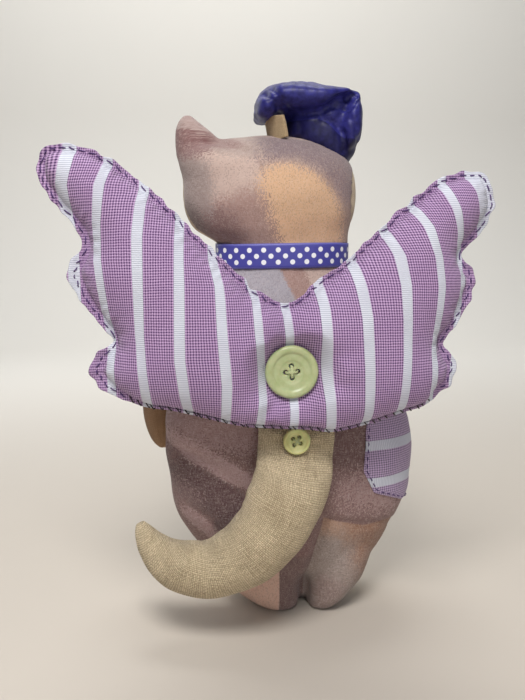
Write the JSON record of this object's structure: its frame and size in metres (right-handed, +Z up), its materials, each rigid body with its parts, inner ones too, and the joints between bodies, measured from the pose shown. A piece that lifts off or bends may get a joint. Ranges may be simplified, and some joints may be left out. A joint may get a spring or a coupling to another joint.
{
  "type": "winged cloth cat doll",
  "caption": "Hand-sewn stuffed cloth cat doll with buttoned striped wings, a curled linen tail, a small cap and a dotted ribbon collar.",
  "frame": {"origin": "on the floor under the middle of the doll's bounding box", "axes": "+Z up, -Y out of the doll's back where the wings and tail are, +Y out of its face, +X to the doll's right hip as seen from behind"},
  "size_m": [0.1987, 0.1241, 0.2656],
  "materials": {
    "print_cotton": "matte",
    "linen": "matte",
    "stripe_cotton": "matte",
    "stuffing": "matte",
    "green_button": "gloss",
    "lime_button": "gloss",
    "thread": "matte",
    "dark_thread": "matte",
    "dot_ribbon": "satin",
    "cap_satin": "satin"
  },
  "bodies": {
    "doll": {"body_back_panel": "print_cotton", "body_front_panel": "linen", "body_fill": "stuffing", "eye_left": "dark_thread", "eye_right": "dark_thread", "nose": "dark_thread", "mouth_stitch": "dark_thread", "hip_patch": "stripe_cotton", "hat_crown": "cap_satin", "hat_band": "cap_satin", "hat_peak": "linen", "ribbon_collar": "dot_ribbon", "bow_knot": "dot_ribbon", "bow_loop_left": "dot_ribbon", "bow_loop_right": "dot_ribbon", "bow_tail_left": "dot_ribbon", "bow_tail_right": "dot_ribbon"},
    "wings": {"wing_back_panel": "stripe_cotton", "wing_front_panel": "stripe_cotton", "wing_fill": "stuffing", "wing_button": "green_button", "wing_button_thread": "thread"},
    "tail": {"tail_skin": "linen", "tail_fill": "stuffing", "tail_button": "lime_button", "tail_button_thread": "thread"},
    "arm_left": {"arm_left_skin": "linen", "arm_left_fill": "stuffing", "arm_left_button": "lime_button", "arm_left_button_thread": "thread"},
    "arm_right": {"arm_right_skin": "linen", "arm_right_fill": "stuffing", "arm_right_button": "lime_button", "arm_right_button_thread": "thread"}
  },
  "joints": [
    {"name": "wings_turn", "type": "hinge", "parent": "doll", "child": "wings", "pos_m": [0.008, -0.0425, 0.1293], "axis": [0, 1, 0], "range_deg": [-7, 7]},
    {"name": "tail_swing", "type": "hinge", "parent": "doll", "child": "tail", "pos_m": [0.0119, -0.0345, 0.095], "axis": [0, 1, 0], "range_deg": [-13, 14]},
    {"name": "arm_left_swing", "type": "hinge", "parent": "doll", "child": "arm_left", "pos_m": [-0.0396, 0.0135, 0.154], "axis": [1, 0, 0], "range_deg": [0, 60]},
    {"name": "arm_right_swing", "type": "hinge", "parent": "doll", "child": "arm_right", "pos_m": [0.0618, 0.0135, 0.154], "axis": [1, 0, 0], "range_deg": [-24, 35]}
  ]
}
